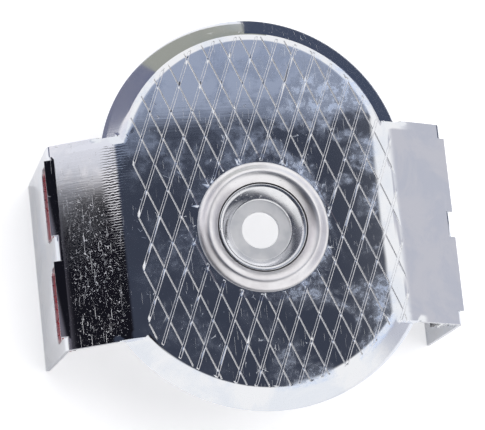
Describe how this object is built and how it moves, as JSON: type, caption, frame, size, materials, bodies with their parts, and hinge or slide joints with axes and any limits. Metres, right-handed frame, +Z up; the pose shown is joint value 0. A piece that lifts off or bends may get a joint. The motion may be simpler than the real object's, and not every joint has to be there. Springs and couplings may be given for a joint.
{
  "type": "raised pavement marker",
  "caption": "Pressed aluminium road marker: knurled round top, nail cup in its hub, sloping wings and folded end panels with windowed reflectors.",
  "frame": {"origin": "on the road, under the middle of the marker's overall length and width", "axes": "+X from one end panel to the other, towards the white reflectors; +Y towards the longer lobe; +Z up from the road"},
  "size_m": [0.102, 0.099, 0.0445],
  "materials": {
    "shell_aluminium": "bright rolled sheet, knurled and scuffed",
    "cup_metal": "bright pressed",
    "red_reflector": "clear red, smooth front over prisms",
    "white_reflector": "clear white, smooth front over prisms",
    "backing_plastic": "moulded"
  },
  "bodies": {
    "root": {"shell": "shell_aluminium", "nail_cup": "cup_metal", "left_front_reflector": "red_reflector", "left_rear_reflector": "red_reflector", "right_front_reflector": "white_reflector", "right_rear_reflector": "white_reflector", "left_reflector_backing": "backing_plastic", "right_reflector_backing": "backing_plastic"}
  },
  "joints": []
}
